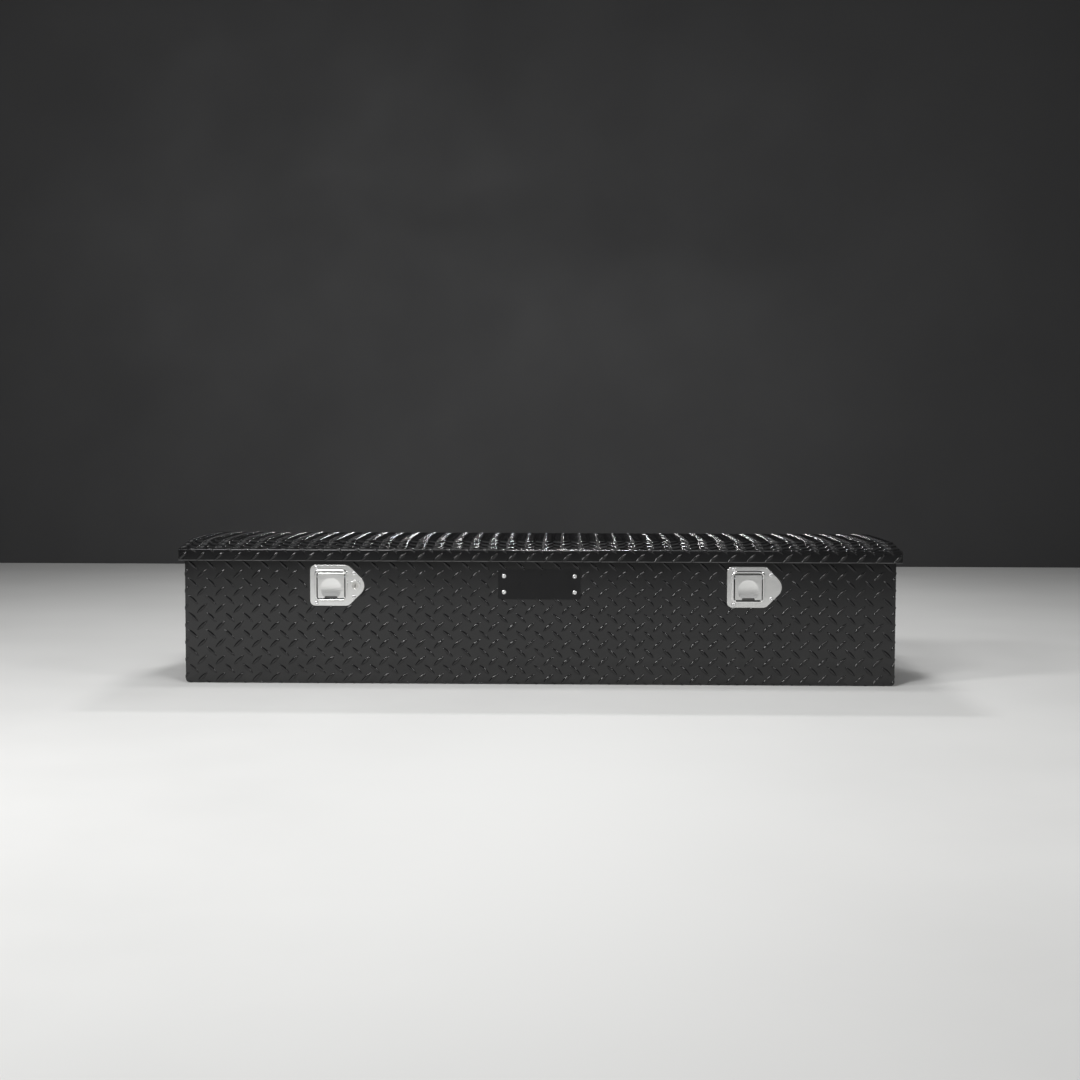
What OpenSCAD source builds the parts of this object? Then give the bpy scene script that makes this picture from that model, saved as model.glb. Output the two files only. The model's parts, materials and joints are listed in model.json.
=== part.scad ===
// Low chest tool box for a truck bed: a folded tread-plate tub, a foam-filled crowned lid on a
// full-length hinge, two gas struts, and two paddle latches with pivoting catches.
// Millimetres. +Z is up, -Y is the latch side, X runs along the box.
// The origin is at the centre of the overall outline, on the ground.

/* [Tub] */
// Length of the tub
tub_l = 1500; // [1250:10:1800]
// Depth of the tub, front to back
tub_d = 500; // [440:10:640]
// Height of the tub's rim above the ground
tub_h = 274; // [250:2:420]
// Thickness of the sheet
sheet_t = 1.6; // [1.2:0.1:2.4]
// Outside radius of the folds under the tub's front and back
fold_r = 6; // [4:0.5:10]
// Outside radius of the folds under the tub's ends
end_fold_r = 9; // [4:0.5:12]
// Width of the rim folded inwards
rim_w = 24; // [18:1:30]
// Depth of the stiffening hem on the rim's inner edge
rim_hem = 10; // [6:1:14]

/* [Seal] */
// Width of the rim seal
seal_w = 12; // [8:1:14]
// Height of the rim seal, as squeezed by the lid
seal_h = 6; // [4:0.5:8]
// Gap between the seal and the closed lid
seal_gap = 0.3; // [0.2:0.1:0.6]

/* [Lid] */
// Overhang of the lid past the front and the ends of the tub
lid_overhang = 12; // [8:1:18]
// Height of the lid's turned-down lip
lip_h = 25; // [22:1:32]
// Height of the lid's edge fold above the tub's rim
lid_rise = 12; // [11:1:18]
// Width of the sloped band along the lid's front and back
bevel_w = 100; // [50:5:120]
// Rise of the sloped band
bevel_rise = 12.5; // [6:0.5:16]
// Further rise of the crown between the bands
crown_rise = 1.5; // [1:0.5:8]
// Outside radius of the lid's edge folds
lid_fold_r = 3.5; // [3:0.5:8]
// Thickness of the lid's inner liner
liner_t = 1.2; // [0.8:0.1:2]
// Distance of the liner's rivets from its edges
liner_rivet_edge = 100; // [94:2:140]
// Nominal distance between the liner's rivets
liner_rivet_pitch = 220; // [120:10:400]

/* [Hinge] */
// Length of the hinge
hinge_l = 1470; // [1200:10:1760]
// Outside radius of the hinge's knuckles
knuckle_r = 3.9; // [3.2:0.1:5]
// Radius of the hinge's pin
hinge_pin_r = 2.4; // [1.5:0.1:2.6]
// Nominal length of one knuckle
knuckle_l = 30; // [24:1:60]
// Thickness of the hinge's leaves
leaf_t = 1.5; // [1:0.1:2]
// Width of the leaf on the tub, below the pin
tub_leaf_w = 28; // [20:1:40]
// Nominal distance between the hinge's rivets
hinge_rivet_pitch = 120; // [80:10:200]

/* [Latches] */
// Distance of each paddle from the middle of the box
latch_x = 440; // [300:5:560]
// Height of the latch's middle below the lid's lip
latch_drop = 52; // [48:1:80]
// Width of the square end of the latch plate
plate_w = 81.5; // [79:0.5:90]
// Height of the latch plate
plate_h = 87; // [84:1:96]
// Distance of the paddle's middle from the plate's square end
plate_left_w = 44.5; // [43:0.5:48]
// Radius of the plate's tip
tip_r = 24; // [18:1:26]
// Radius of the corners at the plate's square end
plate_corner_r = 11; // [6:1:14]
// Radius of the shoulders between the square end and the tip
plate_shoulder_r = 15; // [8:1:20]
// Distance of the left rivets from the plate's square end
plate_rivet_left = 14; // [12:0.5:16]
// Distance of the left rivets from the plate's upper and lower edges
plate_rivet_edge = 6.2; // [5.5:0.1:7]
// Distance of the right rivets from the plate's tip
plate_rivet_tip = 22; // [20:0.5:24]
// Distance of the right rivets from the middle of the plate
plate_rivet_rise = 25; // [22:0.5:26]
// Thickness of the latch plate
plate_t = 1.5; // [1.2:0.1:2]
// Width of the recess in the latch plate
recess_w = 61; // [58:1:64]
// Height of the recess
recess_h = 59; // [56:1:64]
// Depth of the recess behind the plate's face
recess_d = 16; // [15:0.5:18]
// Wall of the recess
recess_t = 1.2; // [1:0.1:1.4]
// Height of the bead round the recess
bead_h = 1.8; // [1:0.1:2.5]
// Width of the bead round the recess
bead_w = 5; // [4:0.5:6]
// Distance of the bead's crest from the recess
bead_crest = 1.7; // [1.2:0.1:2]
// Thickness of the gasket under the plate
gasket_t = 1; // [0.6:0.1:1.5]
// Reach of the gasket past the plate's edge
gasket_reach = 2; // [1:0.5:3]
// Gap between the paddle and the recess
paddle_gap = 2.4; // [2:0.1:3]
// Thickness of the paddle
paddle_t = 1.8; // [1.5:0.1:1.8]
// Distance of the paddle's pin below its upper edge
paddle_pin_drop = 9; // [8.5:0.5:11]
// Distance of the paddle's pin behind its face
paddle_pin_back = 5.5; // [5.5:0.1:6.5]
// Radius of the paddle's pin
paddle_pin_r = 2; // [1.8:0.1:2]
// Radius of the paddle's corners
paddle_corner_r = 2; // [1:0.5:4]
// Depth of the thumb dish pressed into the paddle
dish_d = 2.2; // [1:0.1:2.6]
// Radius of the sphere that shapes the thumb dish
dish_r = 120; // [90:5:200]
// Distance of the dish's middle below the paddle's middle
dish_drop = 7; // [4:0.5:9]
// Width of the finger notch in the paddle's lower edge
notch_w = 27; // [20:1:32]
// Height of the finger notch
notch_h = 4.5; // [4:0.5:6]
// Radius of the lock's barrel
barrel_r = 9.5; // [8:0.5:10]
// Radius of the lock's plug
plug_r = 6.5; // [5:0.5:7]
// Distance of the lock from the middle of the paddle
lock_x = 51; // [49:0.5:54]

/* [Catches] */
// Distance of the catch's pivot behind the tub's front
catch_pin_back = 40; // [38:1:46]
// Height of the catch's pivot above the middle of the latch
catch_pin_rise = 2; // [0:1:4]
// Radius of the catch's pivot pin
catch_pin_r = 3; // [2.5:0.1:3.5]
// Height of the catch's nose above its pivot
nose_rise = 34; // [30:1:36]
// Thickness of the catch
catch_t = 4; // [3:0.5:5]
// Radius of the striker's bar
striker_r = 4; // [3:0.5:5]
// Width between the striker's legs
striker_w = 40; // [30:1:60]
// Clearance between the catch's nose and the striker
striker_gap = 0.5; // [0.3:0.1:1]

/* [Struts] */
// Distance of the strut's lower pivot in front of the hinge's pin
strut_low_u = 45; // [42:1:55]
// Depth of the strut's lower pivot below the hinge's pin
strut_low_v = 80; // [74:1:90]
// Distance of the strut's upper pivot in front of the hinge's pin
strut_high_u = 240; // [230:1:260]
// Depth of the strut's upper pivot below the hinge's pin
strut_high_v = 8; // [4:1:12]
// Distance of the strut's middle from the inside of the tub's end
strut_inset = 40; // [38:1:50]
// Radius of the strut's cylinder
strut_r = 9; // [8:0.5:10]
// Wall of the strut's cylinder
strut_wall = 1.5; // [1:0.1:2]
// Length of the strut's cylinder
strut_tube_l = 165; // [150:1:168]
// Radius of the strut's rod
rod_r = 4; // [3:0.5:5]
// Radius of the studs that carry the strut
stud_r = 4; // [3:0.5:4.5]
// Gap that opens the strut's upper pivot
open_pivot_gap = 0.4; // [0.3:0.1:1]

/* [Badge and rivets] */
// Width of the bare badge plate
badge_w = 174; // [120:2:220]
// Height of the badge plate
badge_h = 64; // [54:1:80]
// Thickness of the badge plate
badge_t = 1.5; // [1:0.1:2]
// Radius of the badge plate's corners
badge_r = 3; // [1:0.5:6]
// Height of the badge's middle below the lid's lip
badge_drop = 48; // [44:1:80]
// Distance of the badge's rivets from its ends
badge_rivet_x = 12.5; // [8:0.5:16]
// Distance of the badge's rivets from its long edges
badge_rivet_z = 15; // [8:0.5:18]
// Radius of a rivet's head
rivet_head_r = 4.6; // [3.5:0.1:5]
// Height of a rivet's head
rivet_head_h = 1.4; // [0.8:0.1:2]
// Radius of a rivet's shank
rivet_r = 2.4; // [1.6:0.1:3]

/* [Hidden] */
$fn = 48;
running_gap = 0.05;
fit_gap = 0.2;
rivet_gap = 0.1;
knuckle_gap = 0.4;
weld_gap = 0.05;
through = 1;

// Levels and planes
hinge_off = knuckle_r + 0.3;
hinge_notch = 4;
lid_leaf_gap = 0.5;
rear_over = lid_leaf_gap + leaf_t + sheet_t;
overall_d = lid_overhang + tub_d + hinge_off + knuckle_r;
front_y = -overall_d / 2 + lid_overhang;
back_y = front_y + tub_d;
lid_front_y = front_y - lid_overhang;
lid_back_y = back_y + rear_over;
lid_l = tub_l + 2 * lid_overhang;
edge_z = tub_h + lid_rise;
lip_z = edge_z - lip_h;
axis_y = back_y + hinge_off;
axis_z = lip_z;
liner_z = tub_h + seal_h + seal_gap;
core_z = liner_z + liner_t;
inner_end_x = tub_l / 2 - sheet_t;
floor_end_x = tub_l / 2 - end_fold_r;

// Hinge
knuckle_n = 2 * floor(hinge_l / knuckle_l / 2) + 1;
knuckle_pitch = hinge_l / knuckle_n;
leaf_cut = knuckle_r + 0.6;
lid_leaf_top = core_z - 0.5;
hinge_rivet_run = hinge_l - 2 * knuckle_l;
hinge_rivet_n = floor(hinge_rivet_run / hinge_rivet_pitch);
hinge_rivet_step = hinge_rivet_run / hinge_rivet_n;
tub_rivet_z = axis_z - (leaf_cut + tub_leaf_w) / 2;
lid_rivet_z = (axis_z + leaf_cut + lid_leaf_top) / 2;

// Latch, with its own origin at the middle of the paddle on the tub's front face; depth runs inwards
latch_z = lip_z - latch_drop;
plate_left = -plate_left_w;
plate_right = plate_left + plate_w;
tip_x = plate_right + plate_h / 2 - tip_r * (sqrt(2) - 1);
plate_back = -gasket_t;
plate_face = plate_back - plate_t;
bead_face = plate_face - bead_h;
recess_floor = plate_face + recess_d;
recess_back = recess_floor + recess_t;
recess_r = 7;
cutout_gap = 1;
notch_r = 3;
lug_r = 5;
paddle_w = recess_w - 2 * paddle_gap;
paddle_h = recess_h - 2 * paddle_gap;
paddle_pin_d = bead_face + paddle_pin_back;
paddle_pin_z = paddle_h / 2 - paddle_pin_drop;
ear_t = 1.6;
tail_w = 4;
tail_h = 4;
tail_end = 23;
tail_gap = 0.8;
arm_end = tail_end - 1;
slot_h = 17;
slot_top = paddle_pin_z + 4;
slot_gap = 1;
latch_rivets = [for (z = [-1, 1]) each
    [[plate_left + plate_rivet_left, z * (plate_h / 2 - plate_rivet_edge)],
     [tip_x - plate_rivet_tip, z * plate_rivet_rise]]];

// Torsion spring on the paddle's pin
spring_wire = 1;
spring_turns = 6;
spring_r = paddle_pin_r + 0.3 + spring_wire / 2;
spring_pitch = 1.8;
spring_rings = 8;
spring_sides = 6;
spring_start = tail_w / 2 + 3;

// Lock
barrel_end = 24;
flange_r = barrel_r + 2.5;
flange_h = 1.6;
flange_step = [0.9, 0.8];
lock_face = plate_face - 2;
keyway = [1.6, 6, 7.5];
stem_r = 4;
cam_start = barrel_end + 1;
cam_t = 3;
cam_end = cam_start + cam_t;
cam_w = 16;
cam_tip_w = 14;
cam_reach = 30;
cam_nut_t = 4;
cam_nut_r = stem_r + 3;

// Catch
bracket_t = 2;
bracket_gap = 0.4;
bracket_slot_gap = 0.35;
bracket_plate = [36, 46];
bracket_corner_r = 4;
bracket_shift = 1;
cheek_r = 7;
cheek_low = 14;
cheek_high = 10;
catch_boss_r = 6.5;
nose_tip = 4.5;
nose_low = 8;
arm_h = 4;
striker_d = catch_pin_back + nose_tip + striker_gap + striker_r;
striker_z = latch_z + catch_pin_rise + nose_rise - 7;
striker_plate = [62, 30, 2.5];
striker_rivet = [25, 9];

// Struts: the lower end stays on the tub, the upper end rides on the lid
strut_x = inner_end_x - strut_inset;
strut_l = norm([strut_high_u - strut_low_u, strut_low_v - strut_high_v]);
strut_lean = atan2(strut_high_u - strut_low_u, strut_low_v - strut_high_v);
eye_r = 8;
eye_t = 10;
tube_start = 12;
tube_round = 2;
tube_base = 6;
gland_l = 14;
piston_l = 10;
piston_gap = 3;
rod_socket_l = 12;
strut_plate = [3, 44, 44];
strut_plate_r = 5;
stud_shoulder = 2.5;
stud_over = 2;
lid_bracket_x = 13;
lid_bracket_t = 3;
lid_bracket_r = 11;
lid_bracket_leg_w = 40;
lid_foot = [26, 48, 2.5];
lid_foot_rivet = [14, 16];

// Outlines with rounded corners

// Points of the arc that rounds corner q, between neighbours p and s
function corner_arc(p, q, s, r, n = 6) =
    let (u = (p - q) / norm(p - q), v = (s - q) / norm(s - q), half = acos(u * v) / 2,
         c = q + (u + v) / norm(u + v) * r / sin(half),
         a = q + u * r / tan(half) - c, b = q + v * r / tan(half) - c,
         a0 = atan2(a[1], a[0]), turn = atan2(a[0] * b[1] - a[1] * b[0], a * b))
    [for (i = [0:n]) c + r * [cos(a0 + turn * i / n), sin(a0 + turn * i / n)]];

// A polygon's points, with each corner rounded to its own radius; a radius of 0 keeps it sharp
function rounded(points, radii) =
    let (n = len(points))
    [for (i = [0:n - 1]) each radii[i] > 0
        ? corner_arc(points[(i + n - 1) % n], points[i], points[(i + 1) % n], radii[i])
        : [points[i]]];

// A centred rectangle with round corners, from true arcs
module round_rect(size, r) {
    square([size[0] - 2 * r, size[1]], center = true);
    square([size[0], size[1] - 2 * r], center = true);
    for (x = [-1, 1], y = [-1, 1])
        translate([x * (size[0] / 2 - r), y * (size[1] / 2 - r)]) circle(r);
}

// A profile drawn in Y and Z, stretched along X about the middle
module along_x(length) {
    rotate([90, 0, 90]) linear_extrude(length, center = true) children();
}

// An outline drawn in X and Z, stretched inwards along Y from one depth to another
module inwards(from, to) {
    translate([0, to, 0]) rotate([90, 0, 0]) linear_extrude(to - from) children();
}

// A round bar along Y from one depth to another
module bar_y(r, from, to) {
    translate([0, from, 0]) rotate([-90, 0, 0]) cylinder(r = r, h = to - from);
}

// A round bar along X about the middle
module bar_x(r, length) {
    rotate([0, 90, 0]) cylinder(r = r, h = length, center = true);
}

// A domed rivet with its head towards -Y: the head sits at depth 0 and the shank runs inwards
module rivet_y(grip) {
    dome_r = (rivet_head_r * rivet_head_r + rivet_head_h * rivet_head_h) / (2 * rivet_head_h);
    intersection() {
        translate([0, dome_r - rivet_head_h, 0]) sphere(r = dome_r, $fn = 160);
        bar_y(rivet_head_r + through, -2 * rivet_head_h, 0);
    }
    bar_y(rivet_r, -rivet_head_h / 2, grip);
}

// A rivet for the wide groups, with a stepped twelve-sided head
module plain_rivet_y(grip) {
    bar_y(rivet_head_r, -rivet_head_h / 2, 0, $fn = 12);
    bar_y(0.7 * rivet_head_r, -rivet_head_h, 0, $fn = 12);
    bar_y(rivet_r, -rivet_head_h / 2, grip, $fn = 12);
}

// Tub

// Section of the folded sheet: front wall, floor, back wall, rims and hems
module wrap_section() {
    middle = (front_y + back_y) / 2;
    difference() {
        translate([middle, tub_h / 2]) round_rect([tub_d, tub_h], fold_r);
        translate([middle, tub_h / 2])
            round_rect([tub_d - 2 * sheet_t, tub_h - 2 * sheet_t], fold_r - sheet_t);
        translate([middle, tub_h]) square([tub_d - 2 * rim_w, 4 * sheet_t], center = true);
    }
    for (y = [front_y + rim_w - sheet_t, back_y - rim_w])
        translate([y, tub_h - sheet_t - rim_hem]) square([sheet_t, rim_hem + sheet_t]);
}

module latch_cutout() {
    inwards(-through, sheet_t + through)
        round_rect([recess_w + 2 * recess_t + 2 * cutout_gap, recess_h + 2 * recess_t + 2 * cutout_gap],
                   recess_r + recess_t);
}

// Runs its children at each rivet of one latch plate
module at_latch_rivets() {
    for (p = latch_rivets) translate([p[0], 0, p[1]]) children();
}

// Moves its children to a latch's own origin
module at_latch(x) {
    translate([x, front_y, latch_z]) children();
}

module at_badge_rivets() {
    dx = badge_w / 2 - badge_rivet_x;
    dz = badge_h / 2 - badge_rivet_z;
    for (x = [-dx, dx], z = [-dz, dz])
        translate([x, front_y, lip_z - badge_drop + z]) children();
}

// Runs its children at each hinge rivet, at the height given
module at_hinge_rivets(z) {
    for (i = [0:hinge_rivet_n - 1])
        translate([(i - (hinge_rivet_n - 1) / 2) * hinge_rivet_step, 0, z]) children();
}

// Front view of the tub, with its lower corners rounded by the end folds
module end_outline() {
    translate([-tub_l / 2, end_fold_r]) square([tub_l, tub_h - end_fold_r]);
    translate([-floor_end_x, 0]) square([2 * floor_end_x, end_fold_r]);
    for (x = [-floor_end_x, floor_end_x]) translate([x, end_fold_r]) circle(end_fold_r);
}

// Room at one end of the folded sheet for the end panel: past the floor's edge and past the hems
module end_room(side) {
    mirror([side > 0 ? 0 : 1, 0, 0]) {
        translate([floor_end_x - weld_gap, front_y + fold_r, -through])
            cube([2 * end_fold_r, tub_d - 2 * fold_r, through + end_fold_r]);
        translate([inner_end_x - weld_gap, front_y + sheet_t, tub_h - 2 * sheet_t - rim_hem])
            cube([2 * sheet_t, tub_d - 2 * sheet_t, sheet_t + rim_hem]);
    }
}

module tub_wrap() {
    color([0.02, 0.02, 0.022]) difference() {
        intersection() {
            along_x(tub_l) wrap_section();
            inwards(front_y - through, back_y + through) end_outline();
        }
        for (side = [-1, 1]) end_room(side);
        for (x = [-latch_x, latch_x]) at_latch(x) {
            latch_cutout();
            at_latch_rivets() bar_y(rivet_r + rivet_gap, -through, sheet_t + through);
        }
        at_latch(-latch_x) translate([lock_x, 0, 0]) bar_y(barrel_r + fit_gap, -through, sheet_t + through);
        at_badge_rivets() bar_y(rivet_r + rivet_gap, -through, sheet_t + through);
        at_hinge_rivets(tub_rivet_z)
            bar_y(rivet_r + rivet_gap, back_y - sheet_t - through, back_y + through);
    }
}

// End wall set between the folded sheet's walls: a lower fold that meets the floor, a rim and a hem
module end_panel(side) {
    y0 = front_y + sheet_t + weld_gap;
    y1 = back_y - sheet_t - weld_gap;
    z0 = max(end_fold_r, fold_r);
    z1 = tub_h - sheet_t - weld_gap;
    rim_y0 = front_y + rim_w + weld_gap;
    rim_y1 = back_y - rim_w - weld_gap;
    color([0.02, 0.02, 0.022]) mirror([side > 0 ? 0 : 1, 0, 0]) difference() {
        union() {
            translate([inner_end_x, y0, z0]) cube([sheet_t, y1 - y0, z1 - fold_r - z0]);
            translate([inner_end_x, front_y + fold_r, z1 - 2 * fold_r])
                cube([sheet_t, tub_d - 2 * fold_r, 2 * fold_r]);
            inwards(front_y + fold_r + weld_gap, back_y - fold_r - weld_gap) {
                intersection() {
                    translate([floor_end_x, end_fold_r]) difference() {
                        circle(end_fold_r);
                        circle(end_fold_r - sheet_t);
                    }
                    translate([floor_end_x, 0]) square(end_fold_r);
                }
                translate([inner_end_x, end_fold_r]) square([sheet_t, z0 - end_fold_r + through]);
            }
            translate([tub_l / 2 - rim_w, rim_y0, tub_h - sheet_t]) cube([rim_w, rim_y1 - rim_y0, sheet_t]);
            translate([inner_end_x, rim_y0, z1 - fold_r])
                cube([sheet_t, rim_y1 - rim_y0, tub_h - z1 + fold_r]);
            translate([tub_l / 2 - rim_w, rim_y0, tub_h - sheet_t - rim_hem])
                cube([sheet_t, rim_y1 - rim_y0, rim_hem + sheet_t]);
        }
        at_strut_tub_rivets(1) translate([strut_plate[0], 0, 0]) bar_x(rivet_r + rivet_gap, 4 * sheet_t);
    }
}

// Bulb seal on the rim: straight runs with rounded corners
module rim_seal() {
    corner = 20;
    half_l = tub_l / 2 - rim_w / 2;
    half_d = tub_d / 2 - rim_w / 2;
    middle = (front_y + back_y) / 2;
    bulb_r = seal_w / 2;
    base_h = seal_h / 3;
    module bulb() {
        translate([-bulb_r, 0]) square([seal_w, base_h]);
        translate([0, base_h]) intersection() {
            circle(bulb_r);
            translate([-bulb_r, 0]) square([seal_w, seal_h - base_h]);
        }
    }
    color([0.05, 0.05, 0.05]) translate([0, middle, tub_h]) {
        for (y = [-1, 1]) translate([0, y * half_d, 0]) along_x(2 * (half_l - corner)) bulb();
        for (x = [-1, 1]) translate([x * half_l, 0, 0]) rotate([0, 0, 90])
            along_x(2 * (half_d - corner)) bulb();
        for (i = [0:3]) {
            sx = i == 0 || i == 3 ? 1 : -1;
            sy = i < 2 ? 1 : -1;
            translate([sx * (half_l - corner), sy * (half_d - corner), 0])
                rotate([0, 0, i * 90]) rotate_extrude(angle = 90) translate([corner, 0]) bulb();
        }
    }
}

// Badge

module badge_plate() {
    color([0.02, 0.02, 0.02]) difference() {
        translate([0, front_y, lip_z - badge_drop]) inwards(-badge_t, 0)
            round_rect([badge_w, badge_h], badge_r);
        at_badge_rivets() bar_y(rivet_r + rivet_gap, -badge_t - through, through);
    }
}

module badge_rivets() {
    color("silver") at_badge_rivets() translate([0, -badge_t, 0]) rivet_y(badge_t + sheet_t);
}

// Hinge

// Knuckles of one leaf: every second one, starting from the one given
module knuckles(first) {
    for (i = [first:2:knuckle_n - 1])
        translate([(i - (knuckle_n - 1) / 2) * knuckle_pitch, axis_y, axis_z])
            bar_x(knuckle_r, knuckle_pitch - knuckle_gap);
}

// Tabs that join a leaf to its own knuckles
module knuckle_tabs(first, y, z0, z1) {
    length = knuckle_pitch - knuckle_gap;
    for (i = [first:2:knuckle_n - 1])
        translate([(i - (knuckle_n - 1) / 2) * knuckle_pitch - length / 2, y, z0])
            cube([length, leaf_t, z1 - z0]);
}

module hinge_bore() {
    translate([0, axis_y, axis_z]) bar_x(hinge_pin_r + running_gap, hinge_l + 2 * through);
}

module hinge_tub_leaf() {
    color("silver") difference() {
        union() {
            translate([-hinge_l / 2, back_y, axis_z - tub_leaf_w])
                cube([hinge_l, leaf_t, tub_leaf_w - leaf_cut]);
            knuckle_tabs(0, back_y, axis_z - leaf_cut - through, axis_z);
            knuckles(0);
        }
        hinge_bore();
        at_hinge_rivets(tub_rivet_z) bar_y(rivet_r + rivet_gap, back_y - through, back_y + leaf_t + through);
    }
}

module hinge_lid_leaf() {
    leaf_y = back_y + lid_leaf_gap;
    color("silver") difference() {
        union() {
            translate([-hinge_l / 2, leaf_y, axis_z + leaf_cut])
                cube([hinge_l, leaf_t, lid_leaf_top - axis_z - leaf_cut]);
            knuckle_tabs(1, leaf_y, axis_z, axis_z + leaf_cut + through);
            knuckles(1);
        }
        hinge_bore();
        at_hinge_rivets(lid_rivet_z) bar_y(rivet_r + rivet_gap, leaf_y - through, leaf_y + leaf_t + through);
    }
}

module hinge_pin() {
    color("silver") translate([0, axis_y, axis_z]) bar_x(hinge_pin_r, hinge_l + 2 * through);
}

module hinge_tub_rivets() {
    color("silver") at_hinge_rivets(tub_rivet_z) translate([0, back_y + leaf_t, 0]) rotate([0, 0, 180])
        plain_rivet_y(leaf_t + sheet_t);
}

module hinge_lid_rivets() {
    color("silver") at_hinge_rivets(lid_rivet_z) translate([0, lid_back_y, 0]) rotate([0, 0, 180])
        plain_rivet_y(leaf_t + sheet_t);
}

// Lid

// Outline of the lid's top in Y and Z, set in by the amount given, down to the height given
function lid_outline(inset, bottom) =
    let (y0 = lid_front_y + inset, y1 = lid_back_y - inset, z = edge_z - inset,
         b0 = lid_front_y + bevel_w, b1 = lid_back_y - bevel_w, zb = z + bevel_rise, n = 8,
         crown = [for (i = [0:n]) let (k = 2 * i / n - 1)
             [b1 + (b0 - b1) * i / n, zb + crown_rise * (1 - k * k)]],
         r = lid_fold_r - inset)
    concat([[y1, bottom]], corner_arc([y1, bottom], [y1, z], [b1, zb], r), crown,
           corner_arc([b0, zb], [y0, z], [y0, bottom], r), [[y0, bottom]]);

module lid_skin() {
    color([0.02, 0.02, 0.022]) difference() {
        along_x(lid_l) polygon(lid_outline(0, lip_z));
        along_x(lid_l - 2 * sheet_t) polygon(lid_outline(sheet_t, lip_z - through));
        translate([-hinge_l / 2 - hinge_notch, lid_back_y - 2 * sheet_t, lip_z - through])
            cube([hinge_l + 2 * hinge_notch, 3 * sheet_t, leaf_cut + through]);
        at_hinge_rivets(lid_rivet_z)
            bar_y(rivet_r + rivet_gap, lid_back_y - 2 * sheet_t, lid_back_y + through);
    }
}

// Foam between the skin and the liner, clear of the skin's folds
module lid_core() {
    inset = sheet_t + fit_gap;
    color([0.75, 0.7, 0.5]) along_x(lid_l - 2 * inset) intersection() {
        polygon(lid_outline(inset, lip_z));
        translate([lid_front_y + lid_fold_r, core_z])
            square([lid_back_y - lid_front_y - 2 * lid_fold_r, edge_z + bevel_rise + crown_rise - core_z]);
    }
}

// Runs its children at each liner rivet
module at_liner_rivets() {
    half_l = tub_l / 2 - liner_rivet_edge;
    half_d = tub_d / 2 - liner_rivet_edge;
    middle = (front_y + back_y) / 2;
    n = floor(2 * half_l / liner_rivet_pitch);
    for (i = [0:n], y = [-1, 1])
        translate([-half_l + 2 * half_l * i / n, middle + y * half_d, liner_z]) children();
}

module lid_liner() {
    y0 = lid_front_y + sheet_t + fit_gap;
    y1 = back_y - 2;
    color([0.6, 0.6, 0.62]) difference() {
        translate([-lid_l / 2 + sheet_t + fit_gap, y0, liner_z])
            cube([lid_l - 2 * sheet_t - 2 * fit_gap, y1 - y0, liner_t]);
        at_liner_rivets()
            translate([0, 0, -through]) cylinder(r = rivet_r + rivet_gap, h = liner_t + 2 * through);
        for (x = [-latch_x, latch_x]) at_striker_rivets(x)
            translate([0, 0, -through]) cylinder(r = rivet_r + rivet_gap, h = liner_t + 2 * through);
        for (side = [-1, 1]) at_strut_lid_rivets(side)
            translate([0, 0, -through]) cylinder(r = rivet_r + rivet_gap, h = liner_t + 2 * through);
    }
}

// A rivet with its head facing down and its shank upwards
module rivet_up(grip) {
    rotate([90, 0, 0]) plain_rivet_y(grip);
}

module lid_liner_rivets() {
    color("silver") at_liner_rivets() rotate([0, 0, 180]) rivet_up(liner_t);
}

// Latch dish, paddle and lock, drawn at the latch's own origin

function plate_outline(reach) =
    let (x0 = plate_left - reach, z = plate_h / 2 + reach, x1 = plate_right + reach * (sqrt(2) - 1))
    rounded([[x0, -z], [x1, -z], [x1 + z, 0], [x1, z], [x0, z]],
            [plate_corner_r + reach, plate_shoulder_r + reach, tip_r + reach, plate_shoulder_r + reach,
             plate_corner_r + reach]);

module recess_2d(extra) {
    round_rect([recess_w + 2 * extra, recess_h + 2 * extra], recess_r + extra);
}

// Section of the rolled bead: outwards from the recess, and up from the plate's face
module bead_section() {
    outer_w = bead_w - bead_crest;
    bead_r = (outer_w * outer_w + bead_h * bead_h) / (2 * bead_h);
    intersection() {
        translate([bead_crest, bead_h - bead_r]) circle(bead_r);
        translate([-through, -plate_t / 2]) square([bead_w + 2 * through, bead_h + plate_t / 2]);
    }
}

// Rolled bead along the recess's four sides and round its corners, lying flat
module recess_bead() {
    side_x = recess_w / 2;
    side_y = recess_h / 2;
    for (turn = [0, 180]) rotate([0, 0, turn]) {
        translate([0, side_y, 0]) along_x(recess_w - 2 * recess_r) bead_section();
        rotate([0, 0, 90]) translate([0, side_x, 0]) along_x(recess_h - 2 * recess_r) bead_section();
        translate([side_x - recess_r, side_y - recess_r, 0])
            rotate_extrude(angle = 90) translate([recess_r, 0]) bead_section();
        translate([recess_r - side_x, side_y - recess_r, 0]) rotate([0, 0, 90])
            rotate_extrude(angle = 90) translate([recess_r, 0]) bead_section();
    }
}

module latch_dish(has_lock) {
    color([0.78, 0.78, 0.77]) difference() {
        union() {
            inwards(plate_face, plate_back) polygon(plate_outline(0));
            translate([0, plate_face, 0]) rotate([90, 0, 0]) recess_bead();
            inwards(plate_face, recess_back) recess_2d(recess_t);
        }
        inwards(bead_face - through, recess_floor) recess_2d(0);
        at_latch_rivets() bar_y(rivet_r + rivet_gap, plate_face - through, plate_back + through);
        translate([0, paddle_pin_d, paddle_pin_z]) bar_x(paddle_pin_r + fit_gap / 2, recess_w + 2 * bead_w);
        translate([0, recess_floor, slot_top - slot_h / 2])
            cube([tail_w + 2 * slot_gap, 4 * recess_t, slot_h], center = true);
        if (has_lock) translate([lock_x, 0, 0]) bar_y(barrel_r + fit_gap, plate_face - through, through);
    }
}

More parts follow.
